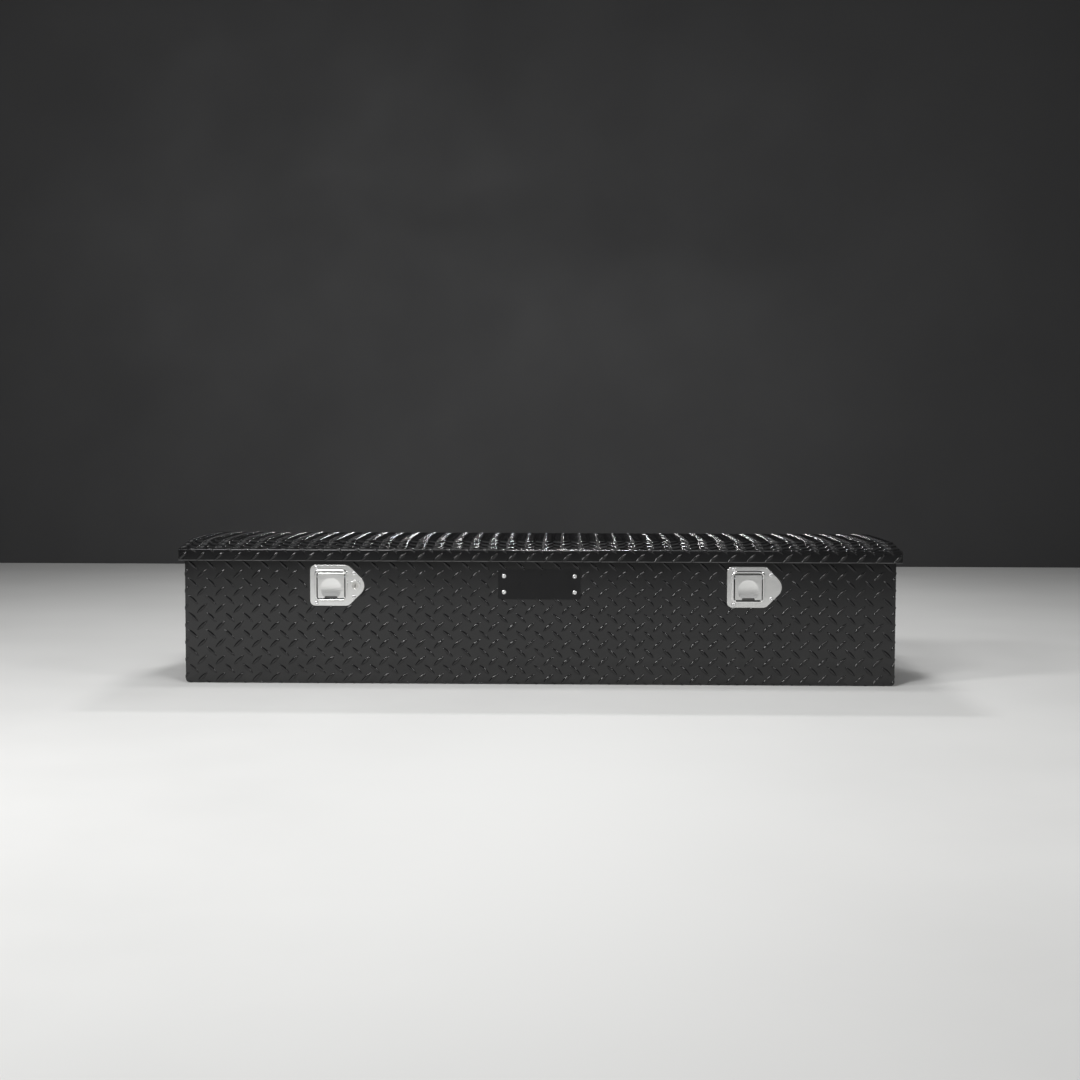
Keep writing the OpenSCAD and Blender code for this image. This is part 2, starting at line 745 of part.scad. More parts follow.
module latch_gasket(has_lock) {
    color([0.04, 0.04, 0.04]) difference() {
        inwards(plate_back, 0) polygon(plate_outline(gasket_reach));
        inwards(-2 * gasket_t, through) recess_2d(recess_t + cutout_gap);
        at_latch_rivets() bar_y(rivet_r + rivet_gap, -2 * gasket_t, through);
        if (has_lock) translate([lock_x, 0, 0]) bar_y(barrel_r + fit_gap, -2 * gasket_t, through);
    }
}

module latch_rivet_set() {
    color("silver") at_latch_rivets() translate([0, plate_face, 0]) rivet_y(plate_t + gasket_t + sheet_t);
}

// Side profile of the paddle's face, with a turned-back top
module paddle_section() {
    f = bead_face;
    b = f + paddle_t;
    h = paddle_h / 2;
    turn = 3.4;
    polygon(rounded([[f, -h], [b, -h], [b, h - turn - paddle_t], [b + turn, h - paddle_t], [b + turn, h],
                     [f, h]],
                    [0.6, 0.6, 1, 0, 0, 2.4]));
}

// Side profile of a lug that carries the paddle on its pin
module lug_section() {
    translate([paddle_pin_d, paddle_pin_z]) circle(lug_r);
    translate([bead_face + paddle_t / 2, paddle_pin_z - lug_r])
        square([paddle_pin_back - paddle_t / 2, 2 * lug_r]);
}

// The sphere that presses the thumb dish, with its radius given
module dish_ball(r) {
    translate([0, bead_face + dish_d - dish_r, -dish_drop]) sphere(r = r, $fn = 240);
}

module paddle() {
    ear_x = paddle_w / 2 - ear_t / 2;
    tail_z = paddle_pin_z;
    color([0.8, 0.8, 0.79]) difference() {
        intersection() {
            union() {
                along_x(paddle_w) paddle_section();
                intersection() {
                    dish_ball(dish_r + paddle_t);
                    inwards(bead_face + paddle_t / 2, recess_floor)
                        round_rect([paddle_w, paddle_h], paddle_corner_r);
                }
                for (x = [-ear_x, ear_x]) translate([x, 0, 0]) along_x(ear_t) lug_section();
                along_x(tail_w) {
                    lug_section();
                    polygon(rounded([[paddle_pin_d, tail_z - tail_h / 2], [tail_end, tail_z - tail_h / 2],
                                     [tail_end, tail_z + tail_h / 2], [paddle_pin_d, tail_z + tail_h / 2]],
                                    [0, 1.6, 1.6, 0]));
                }
            }
            inwards(bead_face - through, tail_end + through)
                round_rect([paddle_w, paddle_h], paddle_corner_r);
        }
        dish_ball(dish_r);
        translate([0, paddle_pin_d, paddle_pin_z]) bar_x(paddle_pin_r + running_gap, paddle_w + 2 * through);
        translate([0, 0, -paddle_h / 2]) inwards(bead_face - through, recess_floor)
            round_rect([notch_w, 2 * notch_h], notch_r);
    }
}

module paddle_pin() {
    color("silver") translate([0, paddle_pin_d, paddle_pin_z])
        bar_x(paddle_pin_r, recess_w + 2 * recess_t + cutout_gap);
}

function spring_point(i) =
    let (a = 360 * i / spring_rings)
    [spring_start + spring_pitch * i / spring_rings, spring_r * cos(a), spring_r * sin(a)];

// Least gap between the wire of neighbouring turns
spring_gap = min([for (i = [0:spring_rings * (spring_turns - 1)])
    norm(spring_point(i + spring_rings) - spring_point(i))]) - spring_wire;
echo(least_gap_between_spring_turns = spring_gap);

// Torsion spring round the paddle's pin: one unbroken tube that winds along X
module paddle_spring() {
    rings = spring_rings * spring_turns;
    points = [for (i = [0:rings], k = [0:spring_sides - 1])
        let (a = 360 * i / spring_rings, b = 360 * k / spring_sides, r = spring_r + spring_wire / 2 * cos(b))
        [spring_start + spring_pitch * i / spring_rings + spring_wire / 2 * sin(b), r * cos(a), r * sin(a)]];
    sides = [for (i = [0:rings - 1], k = [0:spring_sides - 1])
        let (a = i * spring_sides + k, b = i * spring_sides + (k + 1) % spring_sides, c = a + spring_sides,
             d = b + spring_sides)
        each [[a, b, c], [b, d, c]]];
    caps = [for (k = [1:spring_sides - 2]) each
        [[0, k + 1, k], [rings * spring_sides, rings * spring_sides + k, rings * spring_sides + k + 1]]];
    color("dimgray") translate([0, paddle_pin_d, paddle_pin_z])
        polyhedron(points = points, faces = concat(sides, caps));
}

module lock_barrel() {
    color("silver") translate([lock_x, 0, 0]) difference() {
        union() {
            bar_y(flange_r, plate_face - flange_h, plate_face);
            bar_y(flange_r - flange_step[0], plate_face - flange_h - flange_step[1], plate_face);
            bar_y(barrel_r, plate_face, barrel_end);
        }
        bar_y(plug_r + running_gap, plate_face - 2 * flange_h - through, barrel_end + through);
    }
}

module lock_plug() {
    color([0.7, 0.7, 0.7]) translate([lock_x, 0, 0]) difference() {
        union() {
            bar_y(plug_r, lock_face, cam_start);
            bar_y(stem_r, cam_start, cam_end + cam_nut_t + through);
        }
        translate([0, lock_face, 0]) cube([keyway[0], 2 * keyway[1], keyway[2]], center = true);
    }
}

module lock_cam() {
    color("silver") translate([lock_x, 0, 0]) difference() {
        inwards(cam_start, cam_end)
            polygon(rounded([[-cam_w, cam_w] / 2, [-cam_tip_w / 2, -cam_reach], [cam_tip_w / 2, -cam_reach],
                             [cam_w, cam_w] / 2], [7.5, 5, 5, 7.5]));
        bar_y(stem_r + running_gap, cam_start - through, cam_end + through);
    }
}

module lock_cam_nut() {
    color("silver") translate([lock_x, 0, 0]) difference() {
        bar_y(cam_nut_r, cam_end, cam_end + cam_nut_t);
        bar_y(stem_r + running_gap, cam_end - through, cam_end + cam_nut_t + through);
    }
}

// Catch

// Bracket welded to the back of the recess, with two cheeks that carry the catch
module catch_bracket() {
    cheek_x = catch_t / 2 + bracket_gap + bracket_t / 2;
    base = recess_back + bracket_t;
    z = catch_pin_rise;
    color("silver") difference() {
        union() {
            translate([0, 0, bracket_shift]) inwards(recess_back, base)
                round_rect(bracket_plate, bracket_corner_r);
            for (x = [-cheek_x, cheek_x]) translate([x, 0, 0]) along_x(bracket_t) {
                polygon([[base - bracket_t / 2, z - cheek_low], [catch_pin_back, z - cheek_r],
                         [catch_pin_back, z + cheek_r], [base - bracket_t / 2, z + cheek_high]]);
                translate([catch_pin_back, z]) circle(cheek_r);
            }
        }
        translate([0, catch_pin_back, z]) bar_x(catch_pin_r + fit_gap / 2, bracket_plate[0]);
        translate([0, recess_back, slot_top - slot_h / 2])
            cube([tail_w + 2 * bracket_slot_gap, 6 * bracket_t, slot_h], center = true);
    }
}

// Pivoting catch: a nose above, and an arm in front that the paddle's tail pushes down
module catch_hook() {
    z = catch_pin_rise;
    c = catch_pin_back;
    tip_z = z + nose_rise;
    arm_top = paddle_pin_z - tail_h / 2 - tail_gap;
    color("silver") difference() {
        along_x(catch_t) {
            translate([c, z]) circle(catch_boss_r);
            polygon(rounded([[c + catch_boss_r - 0.5, z], [c + 2, tip_z - nose_low],
                             [c + nose_tip, tip_z - 5], [c + nose_tip, tip_z - 3], [c - 3, tip_z + 4],
                             [c - catch_boss_r, tip_z - nose_low], [c - catch_boss_r, z]],
                            [0, 2, 0.5, 0.5, 3, 8, 0]));
            polygon(rounded([[c, z + catch_boss_r], [arm_end + 3, arm_top], [arm_end, arm_top],
                             [arm_end, arm_top - arm_h], [c, z - 5]],
                            [0, 2, 1.5, 1.5, 0]));
        }
        translate([0, c, z]) bar_x(catch_pin_r + running_gap, 2 * catch_t);
    }
}

module catch_pin() {
    span = catch_t + 2 * bracket_gap + 2 * bracket_t;
    color("silver") translate([0, catch_pin_back, catch_pin_rise]) bar_x(catch_pin_r, span + 2);
}

// Striker on the lid: a plate with two legs and a round bar across them

module at_striker_rivets(x) {
    for (dx = [-1, 1])
        translate([x + dx * striker_rivet[0], front_y + striker_d + striker_rivet[1], liner_z]) children();
}

module striker(x) {
    leg_x = striker_w / 2;
    top = liner_z - striker_plate[2];
    color("silver") translate([x, front_y + striker_d, 0]) difference() {
        union() {
            translate([-striker_plate[0] / 2, -striker_plate[1] / 2 + 4, top]) cube(striker_plate);
            for (dx = [-leg_x, leg_x]) translate([dx, 0, striker_z]) {
                cylinder(r = striker_r, h = top - striker_z + striker_plate[2] / 2);
                sphere(r = striker_r);
            }
            translate([0, 0, striker_z]) bar_x(striker_r, striker_w);
        }
        for (dx = [-1, 1]) translate([dx * striker_rivet[0], striker_rivet[1], top - through])
            cylinder(r = rivet_r + rivet_gap, h = striker_plate[2] + 2 * through);
    }
}

module striker_rivets() {
    color("silver") for (x = [-latch_x, latch_x]) at_striker_rivets(x)
        translate([0, 0, -striker_plate[2]]) rotate([0, 0, 180]) rivet_up(striker_plate[2] + liner_t);
}

// Struts, drawn along +Z from the lower pivot

module at_strut(side) {
    translate([side * strut_x, axis_y - strut_low_u, axis_z - strut_low_v])
        rotate([strut_lean, 0, 0]) children();
}

module strut_eye() {
    bar_x(eye_r, eye_t);
}

module strut_cylinder(side) {
    end = tube_start + strut_tube_l;
    color([0.03, 0.03, 0.03]) at_strut(side) difference() {
        union() {
            strut_eye();
            cylinder(r = eye_r - 2, h = tube_start + 1);
            translate([0, 0, tube_start]) rotate_extrude() polygon(rounded(
                [[0, 0], [strut_r, 0], [strut_r, strut_tube_l], [0, strut_tube_l]],
                [0, tube_round, tube_round, 0]));
        }
        bar_x(stud_r + running_gap, 2 * eye_t);
        translate([0, 0, tube_start + tube_base])
            cylinder(r = strut_r - strut_wall, h = strut_tube_l - tube_base - gland_l);
        translate([0, 0, end - gland_l - through])
            cylinder(r = rod_r + running_gap, h = gland_l + 2 * through);
    }
}

module strut_rod(side) {
    piston_z = tube_start + tube_base + piston_gap;
    socket_r = eye_t / 2 - 0.5;
    color([0.7, 0.7, 0.72]) at_strut(side) difference() {
        union() {
            translate([0, 0, piston_z]) cylinder(r = strut_r - strut_wall - fit_gap, h = piston_l);
            translate([0, 0, piston_z]) cylinder(r = rod_r, h = strut_l - piston_z - eye_r);
            translate([0, 0, strut_l - eye_r - rod_socket_l]) cylinder(r = socket_r, h = rod_socket_l + 2);
            translate([0, 0, strut_l]) strut_eye();
        }
        translate([0, 0, strut_l]) bar_x(stud_r + running_gap, 2 * eye_t);
    }
}

// Plate on the tub's end, with the stud that the cylinder turns on
module strut_tub_bracket(side) {
    plate_x = inner_end_x - strut_plate[0];
    stud_end = strut_x - eye_t / 2 - stud_over;
    shoulder_x = strut_x + strut_r + open_pivot_gap;
    rivet_dy = strut_plate[1] / 3;
    color("silver") translate([0, axis_y - strut_low_u, axis_z - strut_low_v])
        mirror([side > 0 ? 0 : 1, 0, 0]) difference() {
            union() {
                translate([plate_x + strut_plate[0] / 2, 0, 0]) along_x(strut_plate[0])
                    round_rect([strut_plate[1], strut_plate[2]], strut_plate_r);
                translate([(plate_x + stud_end) / 2 + 0.5, 0, 0]) bar_x(stud_r, plate_x - stud_end + 1);
                translate([(plate_x + shoulder_x) / 2, 0, 0])
                    bar_x(stud_r + stud_shoulder, plate_x - shoulder_x);
            }
            for (y = [-rivet_dy, rivet_dy])
                translate([plate_x, y, 0]) bar_x(rivet_r + rivet_gap, 4 * strut_plate[0]);
        }
}

module at_strut_tub_rivets(side) {
    for (dy = [-1, 1])
        translate([side * (inner_end_x - strut_plate[0]), axis_y - strut_low_u + dy * strut_plate[1] / 3,
                   axis_z - strut_low_v]) children();
}

module strut_tub_rivets() {
    color("silver") for (side = [-1, 1]) at_strut_tub_rivets(side)
        rotate([0, 0, -side * 90]) plain_rivet_y(strut_plate[0] + sheet_t);
}

module at_strut_lid_rivets(side) {
    for (dy = [-1, 1])
        translate([side * (strut_x - eye_t / 2 - lid_bracket_x - lid_foot_rivet[0]),
                   axis_y - strut_high_u + dy * lid_foot_rivet[1], liner_z]) children();
}

// Angle bracket under the liner, with the stud at the strut's upper pivot
module strut_lid_bracket(side) {
    leg_x = strut_x - eye_t / 2 - lid_bracket_x;
    pivot_z = axis_z - strut_high_v;
    stud_tip = strut_x - eye_t / 2 - open_pivot_gap;
    foot_z = liner_z - lid_foot[2];
    half = lid_bracket_leg_w / 2;
    color("silver") mirror([side > 0 ? 0 : 1, 0, 0]) translate([0, axis_y - strut_high_u, 0]) difference() {
        union() {
            translate([leg_x - lid_foot[0], -lid_foot[1] / 2, foot_z])
                cube([lid_foot[0] + lid_bracket_t / 2, lid_foot[1], lid_foot[2]]);
            translate([leg_x, 0, 0]) along_x(lid_bracket_t) {
                translate([0, pivot_z]) circle(lid_bracket_r);
                polygon([[-lid_bracket_r, pivot_z], [lid_bracket_r, pivot_z],
                         [half, foot_z + lid_foot[2] / 2], [-half, foot_z + lid_foot[2] / 2]]);
            }
            translate([(leg_x + stud_tip) / 2, 0, pivot_z]) bar_x(stud_r, stud_tip - leg_x);
        }
        for (dy = [-1, 1]) translate([leg_x - lid_foot_rivet[0], dy * lid_foot_rivet[1], foot_z - through])
            cylinder(r = rivet_r + rivet_gap, h = lid_foot[2] + 2 * through);
    }
}

module strut_lid_rivets() {
    color("silver") for (side = [-1, 1]) at_strut_lid_rivets(side)
        translate([0, 0, -lid_foot[2]]) rotate([0, 0, 180]) rivet_up(lid_foot[2] + liner_t);
}

tub_wrap();
end_panel(-1);  // left_end_panel
end_panel(1);  // right_end_panel
rim_seal();
badge_plate();
badge_rivets();
hinge_tub_leaf();
hinge_lid_leaf();
hinge_pin();
hinge_tub_rivets();
hinge_lid_rivets();
lid_skin();
lid_core();
lid_liner();
lid_liner_rivets();
at_latch(-latch_x) latch_dish(true);  // left_latch_dish
at_latch(-latch_x) latch_gasket(true);  // left_latch_gasket
at_latch(-latch_x) latch_rivet_set();  // left_latch_rivets
at_latch(-latch_x) paddle();  // left_paddle
at_latch(-latch_x) paddle_pin();  // left_paddle_pin
at_latch(-latch_x) paddle_spring();  // left_paddle_spring
at_latch(-latch_x) catch_bracket();  // left_catch_bracket
at_latch(-latch_x) catch_hook();  // left_catch_hook
at_latch(-latch_x) catch_pin();  // left_catch_pin
at_latch(-latch_x) lock_barrel();  // left_lock_barrel
at_latch(-latch_x) lock_plug();  // left_lock_plug
at_latch(-latch_x) lock_cam();  // left_lock_cam
at_latch(-latch_x) lock_cam_nut();  // left_lock_cam_nut
at_latch(latch_x) latch_dish(false);  // right_latch_dish
at_latch(latch_x) latch_gasket(false);  // right_latch_gasket
at_latch(latch_x) latch_rivet_set();  // right_latch_rivets
at_latch(latch_x) paddle();  // right_paddle
at_latch(latch_x) paddle_pin();  // right_paddle_pin
at_latch(latch_x) paddle_spring();  // right_paddle_spring
at_latch(latch_x) catch_bracket();  // right_catch_bracket
at_latch(latch_x) catch_hook();  // right_catch_hook
at_latch(latch_x) catch_pin();  // right_catch_pin
striker(-latch_x);  // left_striker
striker(latch_x);  // right_striker
striker_rivets();
strut_cylinder(-1);  // left_strut_cylinder
strut_rod(-1);  // left_strut_rod
strut_tub_bracket(-1);  // left_strut_tub_bracket
strut_lid_bracket(-1);  // left_strut_lid_bracket
strut_cylinder(1);  // right_strut_cylinder
strut_rod(1);  // right_strut_rod
strut_tub_bracket(1);  // right_strut_tub_bracket
strut_lid_bracket(1);  // right_strut_lid_bracket
strut_tub_rivets();
strut_lid_rivets();
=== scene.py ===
import bpy
import bmesh
import json
import math
from mathutils import Matrix, Vector


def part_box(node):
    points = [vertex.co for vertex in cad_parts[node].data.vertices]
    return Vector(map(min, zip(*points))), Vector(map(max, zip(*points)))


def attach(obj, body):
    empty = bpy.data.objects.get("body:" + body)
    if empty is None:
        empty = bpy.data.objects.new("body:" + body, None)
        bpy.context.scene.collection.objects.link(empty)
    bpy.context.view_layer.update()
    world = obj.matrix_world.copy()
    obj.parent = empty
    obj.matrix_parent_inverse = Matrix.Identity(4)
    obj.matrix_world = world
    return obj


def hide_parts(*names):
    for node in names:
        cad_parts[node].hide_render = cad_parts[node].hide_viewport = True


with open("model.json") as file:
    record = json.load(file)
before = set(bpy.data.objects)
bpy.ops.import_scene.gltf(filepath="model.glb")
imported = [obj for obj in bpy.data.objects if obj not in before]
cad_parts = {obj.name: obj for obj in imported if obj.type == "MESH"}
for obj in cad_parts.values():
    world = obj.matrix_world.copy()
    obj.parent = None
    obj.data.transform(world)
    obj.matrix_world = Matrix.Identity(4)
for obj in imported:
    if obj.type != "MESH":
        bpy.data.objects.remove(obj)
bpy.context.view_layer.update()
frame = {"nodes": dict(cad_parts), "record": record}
scene = bpy.context.scene
scene.view_settings.view_transform = "Standard"
mm = 0.001
slotOf = {part["node"]: part["material_slot"] for part in frame["record"]["subparts"]}
bodyOf = {node: body for body, nodes in frame["record"]["behaviour"]["bodies"].items() for node in nodes}
tubLow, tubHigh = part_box("tub_wrap")
lidLow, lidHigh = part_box("lid_skin")
print("frame loaded,", len(slotOf), "nodes")

# camera, its angles in degrees
shot = {"place": (0.0542, -3.76, 0.5111), "yaw": 0.867, "pitch": 3.332, "roll": 0.191,
        "lens": 55.67, "sensor": 36.0}
camera = bpy.data.objects.new("camera", bpy.data.cameras.new("camera"))
scene.collection.objects.link(camera)
camera.data.lens = shot["lens"]
camera.data.sensor_width = shot["sensor"]
turn = Matrix.Rotation(math.radians(shot["yaw"]), 4, "Z")
tilt = Matrix.Rotation(math.radians(90.0 - shot["pitch"]), 4, "X")
roll = Matrix.Rotation(math.radians(shot["roll"]), 4, "Z")
camera.matrix_world = Matrix.Translation(shot["place"]) @ turn @ tilt @ roll
scene.camera = camera
print("camera set")

# finishes
plainLook = {"metallic": 0.0, "specular": 0.5, "coat": 0.0, "coatRough": 0.1, "stretch": (1, 1, 1),
             "shade": 0.15, "depth": 0.0002}
noiseKinds = {"patch": {"Detail": 5.0, "Roughness": 0.6}, "grain": {"Detail": 3.0, "Roughness": 0.55},
              "cloud": {"Detail": 6.0, "Roughness": 0.7}, "wave": {"Detail": 1.0}}
noiseSpan = (0.3, 0.7)  # the part of a noise's range that is spread between two values


def addNode(tree, kind, values=None):
    node = tree.nodes.new(kind)
    for socket, value in (values or {}).items():
        node.inputs[socket].default_value = value
    return node


def objectCoords(tree, stretch=(1, 1, 1)):  # drawn out along an axis for brushed metal
    coords = tree.nodes.new("ShaderNodeTexCoord")
    mapping = addNode(tree, "ShaderNodeMapping", {"Scale": stretch})
    tree.links.new(coords.outputs["Object"], mapping.inputs["Vector"])
    return mapping.outputs["Vector"]


def addNoise(tree, vector, kind, scale):
    noise = addNode(tree, "ShaderNodeTexNoise", {"Scale": scale, **noiseKinds[kind]})
    tree.links.new(vector, noise.inputs["Vector"])
    return noise.outputs["Fac"]


def ranged(tree, source, start, stop, before, after):
    span = {"From Min": start, "From Max": stop, "To Min": before, "To Max": after}
    node = addNode(tree, "ShaderNodeMapRange", span)
    tree.links.new(source, node.inputs["Value"])
    return node.outputs["Result"]


def alongAxis(tree, axis, start, stop, before, after):  # a share that changes along one axis of the object
    split = tree.nodes.new("ShaderNodeSeparateXYZ")
    tree.links.new(objectCoords(tree), split.inputs["Vector"])
    return ranged(tree, split.outputs[axis], start, stop, before, after)


def cloudy(tree, scale, low, high):  # a share that changes in patches
    return ranged(tree, addNoise(tree, objectCoords(tree), "cloud", scale), *noiseSpan, low, high)


def times(tree, first, second):
    product = tree.nodes.new("ShaderNodeMath")
    product.operation = "MULTIPLY"
    tree.links.new(first, product.inputs[0])
    tree.links.new(second, product.inputs[1])
    return product.outputs["Value"]


def mixedTone(tree, color, tone, amount):
    mix = tree.nodes.new("ShaderNodeMix")
    mix.data_type = "RGBA"
    for socket in mix.inputs:
        if socket.name == "B" and socket.type == "RGBA":
            socket.default_value = tone
        if socket.name == "A" and socket.type == "RGBA":
            tree.links.new(color, socket)
    tree.links.new(amount, mix.inputs["Factor"])
    return [socket for socket in mix.outputs if socket.type == "RGBA"][0]


def dusted(tree, color, dust):  # pale dust that gathers low down and in patches
    low = alongAxis(tree, "Z", 0.0, dust["height"], 1.0, dust["above"])
    amount = times(tree, low, cloudy(tree, dust["scale"], 0.0, dust["most"]))
    return mixedTone(tree, color, dust["tone"], amount)


def rubAndPaintedHighlight(tree, color, rubAndHighlight):  # a pale line along the lid's lower edge: paint rubbed thin, and a painted highlight where the edge would catch light
    below = alongAxis(tree, "Z", rubAndHighlight["edge"] - rubAndHighlight["fade"], rubAndHighlight["edge"], 0.0, 1.0)
    above = alongAxis(tree, "Z", rubAndHighlight["edge"], rubAndHighlight["edge"] + rubAndHighlight["width"], 1.0, 0.0)
    amount = times(tree, times(tree, below, above), cloudy(tree, rubAndHighlight["scale"], rubAndHighlight["least"], rubAndHighlight["most"]))
    return mixedTone(tree, color, rubAndHighlight["tone"], amount)


def paintedRecessShade(tree, color, recess):  # painted shade: darker metal back in the latch recesses and the key slot, where shade falls
    amount = alongAxis(tree, "Y", recess["start"], recess["stop"], 0.0, recess["most"])
    return mixedTone(tree, color, recess["tone"], amount)


def makeFinish(name, settings):
    look = {**plainLook, **settings}
    finish = bpy.data.materials.new(name)
    finish.use_nodes = True
    tree = finish.node_tree
    shader = tree.nodes["Principled BSDF"]
    for socket, key in (("Metallic", "metallic"), ("Specular IOR Level", "specular"),
                        ("Coat Weight", "coat"), ("Coat Roughness", "coatRough")):
        shader.inputs[socket].default_value = look[key]
    vector = objectCoords(tree, look["stretch"])
    patch = addNoise(tree, vector, "patch", look["patch"])
    grain = addNoise(tree, vector, "grain", look["grain"])
    tree.links.new(ranged(tree, patch, *noiseSpan, *look["rough"]), shader.inputs["Roughness"])
    ramp = tree.nodes.new("ShaderNodeValToRGB")
    for stop, position, sign in zip(ramp.color_ramp.elements, noiseSpan, (-1, 1)):
        stop.position = position
        stop.color = [c * (1 + sign * look["shade"]) for c in look["base"]] + [1]
    tree.links.new(patch, ramp.inputs["Fac"])
    color = ramp.outputs["Color"]
    # dust, rubbed paint with a painted highlight, and painted shade in the recesses are mixed into the
    # colour here
    for key, change in (("dust", dusted), ("rubAndHighlight", rubAndPaintedHighlight), ("recess", paintedRecessShade)):
        if key in look:
            color = change(tree, color, look[key])
    tree.links.new(color, shader.inputs["Base Color"])
    bump = addNode(tree, "ShaderNodeBump", {"Strength": look["bump"], "Distance": look["depth"]})
    tree.links.new(grain, bump.inputs["Height"])
    if "wave" in look:  # slow waviness of thin sheet
        scale, depth = look["wave"]
        slow = addNode(tree, "ShaderNodeBump", {"Strength": 1.0, "Distance": depth})
        tree.links.new(addNoise(tree, vector, "wave", scale), slow.inputs["Height"])
        tree.links.new(slow.outputs["Normal"], bump.inputs["Normal"])
    for socket in ("Normal", "Coat Normal"):
        tree.links.new(bump.outputs["Normal"], shader.inputs[socket])
    return finish


finishes = {
    "tread_black": makeFinish("blackTread", {
        "base": (0.005, 0.005, 0.0055), "rough": (0.12, 0.2), "patch": 9.0, "grain": 420.0, "bump": 0.05,
        "wave": (5.0, 0.0006), "specular": 0.12, "coat": 0.9, "coatRough": 0.04,
        "dust": {"height": 0.12, "above": 0.15, "scale": 26.0, "most": 0.03, "tone": (0.3, 0.29, 0.27, 1)},
        # pale line on the lid's lower edge: rubbed paint and a painted highlight
        "rubAndHighlight": {"edge": lidLow.z, "fade": 0.2 * mm, "width": 2.2 * mm, "scale": 30.0, "least": 0.3,
                "most": 1.0, "tone": (0.16, 0.16, 0.16, 1)}}),
    "badge_black": makeFinish("satinBadge", {
        "base": (0.006, 0.006, 0.0065), "rough": (0.26, 0.36), "patch": 40.0, "grain": 1500.0,
        "bump": 0.08, "specular": 0.3}),
    "stainless": makeFinish("polishedStainless", {
        "base": (0.88, 0.88, 0.87), "metallic": 1.0, "rough": (0.12, 0.22), "patch": 60.0, "grain": 900.0,
        "stretch": (0.25, 1.0, 1.0), "bump": 0.05, "depth": 0.0001, "shade": 0.06,
        # painted shade: darker deep in the latch recesses, so the gap round the paddle reads dark
        "recess": {"start": tubLow.y - 1.5 * mm, "stop": tubLow.y + 3 * mm, "most": 0.9,
                   "tone": (0.09, 0.09, 0.088, 1)}}),
    "lock_nickel": makeFinish("satinNickel", {
        "base": (0.74, 0.73, 0.7), "metallic": 1.0, "rough": (0.16, 0.28), "patch": 220.0, "grain": 2500.0,
        "bump": 0.1,
        # painted shade: darker in the key slot and round the lock's flange
        "recess": {"start": tubLow.y - 3.9 * mm, "stop": tubLow.y - 2.6 * mm, "most": 0.9,
                   "tone": (0.05, 0.05, 0.05, 1)}}),
    "rivet_alloy": makeFinish("rivetAlloy", {
        "base": (0.76, 0.76, 0.76), "metallic": 1.0, "rough": (0.22, 0.4), "patch": 260.0, "grain": 1800.0,
        "bump": 0.12}),
    "zinc_steel": makeFinish("zincPlate", {
        "base": (0.56, 0.575, 0.6), "metallic": 1.0, "rough": (0.28, 0.5), "patch": 120.0, "grain": 1500.0,
        "bump": 0.12, "shade": 0.2}),
    "spring_steel": makeFinish("springWire", {
        "base": (0.3, 0.3, 0.31), "metallic": 1.0, "rough": (0.3, 0.45), "patch": 300.0, "grain": 2500.0,
        "bump": 0.1}),
    "hinge_steel": makeFinish("hingeSteel", {
        "base": (0.6, 0.6, 0.59), "metallic": 1.0, "rough": (0.25, 0.42), "patch": 50.0, "grain": 1200.0,
        "stretch": (0.1, 1.0, 1.0), "bump": 0.1}),
    "seal_rubber": makeFinish("sealRubber", {
        "base": (0.018, 0.018, 0.018), "rough": (0.65, 0.85), "patch": 70.0, "grain": 1400.0, "bump": 0.3}),
    "liner_alloy": makeFinish("millFinish", {
        "base": (0.6, 0.61, 0.62), "metallic": 1.0, "rough": (0.34, 0.5), "patch": 18.0, "grain": 700.0,
        "stretch": (0.06, 1.0, 1.0), "bump": 0.15}),
    "core_foam": makeFinish("sealedFoam", {
        "base": (0.72, 0.64, 0.44), "rough": (0.8, 0.95), "patch": 60.0, "grain": 500.0, "bump": 0.6,
        "depth": 0.001}),
    "strut_black": makeFinish("strutPaint", {
        "base": (0.016, 0.016, 0.017), "rough": (0.28, 0.4), "patch": 60.0, "grain": 1200.0, "bump": 0.1}),
    "rod_chrome": makeFinish("rodChrome", {
        "base": (0.75, 0.75, 0.76), "metallic": 1.0, "rough": (0.07, 0.13), "patch": 90.0, "grain": 2000.0,
        "stretch": (1.0, 1.0, 0.2), "bump": 0.03}),
}
for node, obj in frame["nodes"].items():
    for spot in obj.material_slots:
        spot.material = finishes[slotOf[node]]
print("finishes made:", len(finishes))

# shared steps for new pieces
cleaning = {"merge": 0.003 * mm, "flat": 0.4, "speck": 0.0005 * mm}
creases = {"ease": 40, "shade": 50, "fold": 60}  # least angle of the edges to ease, shade sharp or round
cutSlack = 0.001 * mm


def addPiece(name, bm, body, slotName):
    mesh = bpy.data.meshes.new(name)
    bmesh.ops.dissolve_degenerate(bm, dist=cleaning["speck"], edges=bm.edges)
    for face in bm.faces:
        face.smooth = True
    bm.to_mesh(mesh)
    bm.free()
    if "custom_normal" in mesh.attributes:
        mesh.attributes.remove(mesh.attributes["custom_normal"])
    mesh.materials.clear()
    mesh.materials.append(finishes[slotName])
    piece = bpy.data.objects.new(name, mesh)
    scene.collection.objects.link(piece)
    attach(piece, body)
    return piece


def cleanCopy(node):  # a CAD mesh with its loose triangles merged
    bm = bmesh.new()
    bm.from_mesh(frame["nodes"][node].data)
    bmesh.ops.remove_doubles(bm, verts=bm.verts, dist=cleaning["merge"])
    bmesh.ops.dissolve_limit(bm, angle_limit=math.radians(cleaning["flat"]), verts=bm.verts, edges=bm.edges)
    return bm


def sharpEdges(bm, least):
    return [e for e in bm.edges if len(e.link_faces) == 2 and e.calc_face_angle(0.0) > math.radians(least)]


def roundEdges(bm, edges, width, segments):
    bmesh.ops.bevel(bm, geom=edges, offset=width, offset_type="OFFSET", segments=segments, profile=0.5,
                    affect="EDGES", clamp_overlap=True, material=-1)


